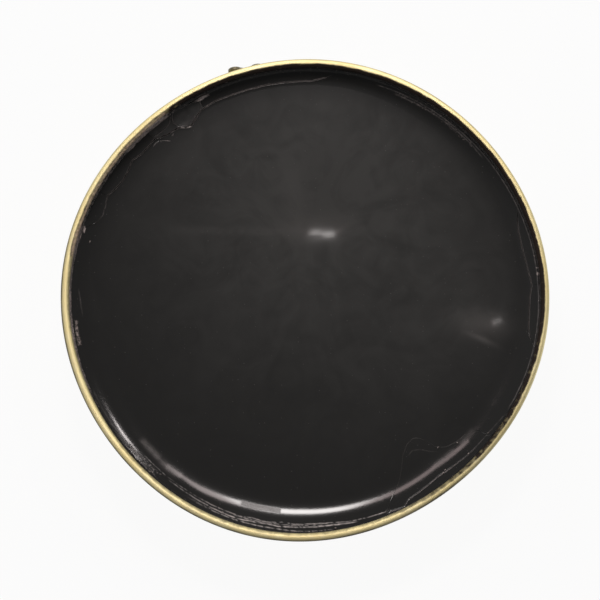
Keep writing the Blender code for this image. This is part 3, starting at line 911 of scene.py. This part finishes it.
def makeCrumbs():
    bm = bmesh.new()
    dry = bm.verts.layers.float.new("dry")
    pale = bm.verts.layers.float.new("pale")
    for i, (turn, reach, long, wide, tall, mark) in enumerate(crumbs):
        x, y = around(turn, wallInside - reach)
        made = bmesh.ops.create_icosphere(bm, subdivisions=2, radius=1)["verts"]
        for v in made:
            uneven = 1 + 0.35 * noise.noise(v.co * 1.6 + Vector((i * 3.7, 0, 0)))
            v.co = Vector((v.co.x * wide, v.co.y * long, v.co.z * tall)) * uneven
        lean = Matrix.Rotation(math.radians(turn) + 0.3 * math.sin(i * 2.3), 3, "Z")
        bmesh.ops.rotate(bm, verts=made, cent=(0, 0, 0), matrix=lean)
        bmesh.ops.translate(bm, verts=made, vec=(x, y, waxHeight(x, y) + tall * 0.45))
        for v in made:
            v[dry], v[pale] = mark, 0.3 * mark
    for width, height, strength, line in flakeEdges:
        # painted highlight along each flake edge
        for v in addRidge(bm, width, height, line):
            v[pale] = strength * (1 + 0.5 * wobble(v.co.x * 3, v.co.y * 3, 6.6))
    bmesh.ops.remove_doubles(bm, verts=bm.verts, dist=1e-5)
    bmesh.ops.holes_fill(bm, edges=[e for e in bm.edges if e.is_boundary], sides=0)
    bmesh.ops.scale(bm, verts=bm.verts, vec=(mm, mm, mm))
    settleWax("waxCrumbs", bm, None)


makeCrumbs()
print("crumbs made")


# opener: a stamped butterfly key that turns on a rivet through the wall

opener = dict(turn=104.5, out=46.0761, up=9.0)
key = dict(
    sheet=0.5, back=0.8, reach=6.3, boss=2.3, waist=40, notch=1.3, hole=1.2, round=0.09,
    lobe=1.35, lobeOut=2.2, lobeFirst=-20, lobeLast=150, twist=7,
    fold=2.6, foldTurn=13, foldWidth=0.7, foldSteps=6,
)
rivet = dict(
    shank=1.1, head=1.9, headTall=0.7, tail=0.5, collar=1.7, collarTop=0.7, collarFoot=-0.16,
    slack=0.1, round=0.1, turns=64,
)


def openerPlace():  # local Z points out from the wall, local Y up
    outward, up = Vector((*around(opener["turn"], 1), 0)), Vector((0, 0, 1))
    return axesAt((outward * opener["out"] + up * opener["up"]) * mm, up.cross(outward), up, outward)


def makeKey():
    lobeUp = key["reach"] - key["lobe"]
    lobeEnds = (math.radians(key["lobeFirst"]), math.radians(key["lobeLast"]))
    quarter = arcPoints(0, 0, key["boss"], 0, math.radians(key["waist"]), 8)
    quarter += arcPoints(key["lobeOut"], lobeUp, key["lobe"], *lobeEnds, 14)
    quarter.append((0, key["reach"] - key["notch"]))
    upper = quarter + [(-x, y) for x, y in quarter[-2:0:-1]]
    outline = upper + [(-x, -y) for x, y in upper]
    bm = bmesh.new()
    verts = [bm.verts.new((x, y, 0)) for x, y in outline]
    for pair in zip(verts, verts[1:] + verts[:1]):
        bm.edges.new(pair)
    bmesh.ops.create_circle(bm, segments=40, radius=key["hole"], cap_ends=False)
    bmesh.ops.triangle_fill(bm, edges=bm.edges[:], use_beauty=True, normal=(0, 0, 1))
    bmesh.ops.recalc_face_normals(bm, faces=bm.faces)
    soft, steps = key["foldWidth"], key["foldSteps"]
    for side in (1, -1):
        for i in range(steps + 1):
            at = side * (key["fold"] - soft + 2 * soft * i / steps)
            whole = bm.verts[:] + bm.edges[:] + bm.faces[:]
            bmesh.ops.bisect_plane(bm, geom=whole, plane_co=(0, at, 0), plane_no=(0, 1, 0), dist=1e-5)
        for i in range(steps):
            at = key["fold"] - soft + 2 * soft * (i + 0.5) / steps
            wing = [v for v in bm.verts if side * v.co.y > at]
            bend = Matrix.Rotation(side * math.radians(key["foldTurn"]) / steps, 3, "X")
            pivot = min((v.co.copy() for v in wing), key=lambda co: abs(co.y))
            bmesh.ops.rotate(bm, verts=wing, cent=(0, pivot.y, pivot.z), matrix=bend)
    for v in bm.verts:
        share = ramp(key["fold"] - soft, lobeUp, v.co.y)
        v.co.z += v.co.x * math.tan(math.radians(key["twist"])) * share
    for face in bm.faces:
        if face.normal.z < 0:
            face.normal_flip()
    bmesh.ops.translate(bm, verts=bm.verts, vec=(0, 0, key["back"]))
    bmesh.ops.scale(bm, verts=bm.verts, vec=(mm, mm, mm))
    bmesh.ops.transform(bm, matrix=openerPlace(), verts=bm.verts)
    piece = makePiece("openerKey", bm, steelWithPaintedShade, sharp=40)
    thick = piece.modifiers.new("sheet", "SOLIDIFY")
    thick.thickness = key["sheet"] * mm
    thick.offset = 1
    edges = piece.modifiers.new("edges", "BEVEL")
    edges.width = key["round"] * mm
    edges.segments = 3
    edges.limit_method = "ANGLE"
    edges.angle_limit = math.radians(50)
    settle(piece, "opener", "tinned_steel", "opener_key")


def makeRivet():
    shank, head, collar, tail = rivet["shank"], rivet["head"], rivet["collar"], rivet["tail"]
    edge = rivet["round"]
    tailLow = -tin["sheet"] - rivet["slack"] - tail
    tailTop = -tin["sheet"] - 2 * rivet["slack"]
    headLow = key["back"] + key["sheet"] + rivet["slack"]
    profile = arcPoints(0, 0, 1, math.pi / 2, 0, 12)
    profile = [(head * x, headLow + edge + (rivet["headTall"] - edge) * z) for x, z in profile]
    profile += [(head - edge, headLow), (shank, headLow), (shank, rivet["collarTop"])]
    profile += [(collar - edge, rivet["collarTop"]), (collar, rivet["collarTop"] - edge)]
    profile += [(collar, rivet["collarFoot"]), (shank, rivet["collarFoot"]), (shank, tailTop)]
    profile += [(head - edge, tailTop), (head, tailTop - edge), (head, tailLow + edge)]
    profile += [(head - 3 * edge, tailLow), (0, tailLow)]
    bm = lathe(profile, rivet["turns"])[0]
    bmesh.ops.transform(bm, matrix=openerPlace(), verts=bm.verts)
    piece = makePiece("openerRivet", bm, steelWithPaintedShade, sharp=40)
    settle(piece, "tin", "tinned_steel", "opener_rivet")


makeKey()
makeRivet()
print("opener made")


# stage, light and camera

stage = dict(size=3.0, drop=0.00005, glow=0.93, colour=(0.9, 0.9, 0.9, 1))
lampHeight, stripWidth, stripRun = 0.4144, 0.054, (1, 0.1, 0)
lamps = (  # middle of each lamp, the way it runs, its length and width, brightness and colour
    dict(name="stripLampLeft", at=(-0.092, 0.202, lampHeight), along=stripRun, size=(0.08, stripWidth),
         bright=5.6, colour=(1.0, 0.8, 0.78)),
    dict(name="stripLampMiddle", at=(-0.019, 0.209, lampHeight), along=stripRun, size=(0.066, stripWidth),
         bright=33.0, colour=(1.0, 0.955, 0.935)),
    dict(name="stripLampRight", at=(0.042, 0.2151, lampHeight), along=stripRun, size=(0.056, stripWidth),
         bright=10.0, colour=(1.0, 0.86, 0.84)),
    dict(name="sideLamp", at=(0.228, 0.2862, lampHeight), along=(-0.034, 0.09, 0), size=(0.066, 0.024),
         bright=30.0, colour=(1.0, 0.92, 0.9), shape="ELLIPSE"),
    dict(name="farLamp", at=(-0.06, 0.66, 0.43), along=(1, 0, 0), size=(0.62, 0.2),
         bright=2.8, colour=(1.0, 0.98, 0.95)),
)
sky = dict(above=0.27, behind=0.1, level=0.8, left=0.12)
lens = dict(  # shift and pixels are in the picture's own pixels
    distance=0.54, tilt=10.0, turn=285, target=(0, 0, 0.01745), shift=(-3.7, -3.8), pixels=2790.4,
    picture=600, sensor=36,
)


def makeFloor():
    bm = bmesh.new()
    bmesh.ops.create_grid(bm, x_segments=8, y_segments=8, size=stage["size"] / 2)
    bmesh.ops.translate(bm, verts=bm.verts, vec=(0, 0, -stage["drop"]))
    material, tree, shader = newFinish("paleFloor")
    tree.nodes.remove(shader)
    cloth = addNode(tree, "ShaderNodeBsdfDiffuse", {"Color": stage["colour"]})
    glow = addNode(tree, "ShaderNodeEmission", {"Color": (1, 1, 1, 1), "Strength": 1.0})
    path = addNode(tree, "ShaderNodeLightPath")
    seen = plus(tree, path.outputs["Is Camera Ray"], path.outputs["Is Glossy Ray"])
    seen = plus(tree, seen, path.outputs["Is Transmission Ray"], True)
    share = times(tree, seen, stage["glow"])
    blend = addNode(tree, "ShaderNodeMixShader", {0: share, 1: cloth.outputs[0], 2: glow.outputs[0]})
    setInputs(tree, tree.nodes["Material Output"], {"Surface": blend.outputs[0]})
    makePiece("floor", bm, material)


def makeSky():
    world = bpy.data.worlds.new("studio")
    bpy.context.scene.world = world
    world.use_nodes = True
    tree = world.node_tree
    way = addNode(tree, "ShaderNodeSeparateXYZ", {0: placeOf(tree, "Generated")}).outputs
    high = stretch(tree, way[1], -0.3, 0.02, sky["behind"], sky["above"])  # darker on the camera's side
    low = stretch(tree, way[2], 0.2, 0.45, sky["level"], 0.0)
    left = stretch(tree, way[0], -0.6, -0.2, sky["left"], 0.0)
    path = addNode(tree, "ShaderNodeLightPath")
    light = plus(tree, plus(tree, high, low), left)
    strength = addNode(tree, "ShaderNodeMix", {0: path.outputs["Is Camera Ray"], 2: light, 3: 1.0})
    setInputs(tree, tree.nodes["Background"], {"Color": (1, 1, 1, 1), "Strength": strength.outputs[0]})


def makeLamps():
    for lamp in lamps:
        at = Vector(lamp["at"])
        data = bpy.data.lights.new(lamp["name"], "AREA")
        data.shape = lamp.get("shape", "RECTANGLE")
        data.size, data.size_y = lamp["size"]
        data.energy = lamp["bright"] * math.pi * data.size * data.size_y
        data.color = lamp["colour"]
        back = (at - Vector((0, 0, wax["level"] * mm))).normalized()
        long = Vector(lamp["along"])
        long = (long - back * long.dot(back)).normalized()
        addObject(lamp["name"], data).matrix_world = axesAt(at, long, back.cross(long), back)


def makeCamera():
    tilt = math.radians(lens["tilt"])
    back = Vector((*around(lens["turn"], math.sin(tilt)), math.cos(tilt)))
    up = back.cross(Vector((1, 0, 0))).normalized()
    right = up.cross(back)
    target = Vector(lens["target"])
    spot = target + back * lens["distance"]
    pixel = lens["distance"] / lens["pixels"]
    aim = target + right * lens["shift"][0] * pixel + up * lens["shift"][1] * pixel
    back = (spot - aim).normalized()
    right = up.cross(back).normalized()
    up = back.cross(right)
    data = bpy.data.cameras.new("photoCamera")
    data.sensor_width = lens["sensor"]
    data.lens = lens["pixels"] / lens["picture"] * lens["sensor"]
    data.clip_start, data.clip_end = 0.01, 50
    made = addObject("photoCamera", data)
    made.matrix_world = axesAt(spot, right, up, back)
    bpy.context.scene.camera = made


makeFloor()
makeSky()
makeLamps()
makeCamera()
bpy.context.scene.view_settings.view_transform = "Standard"
print("stage ready")
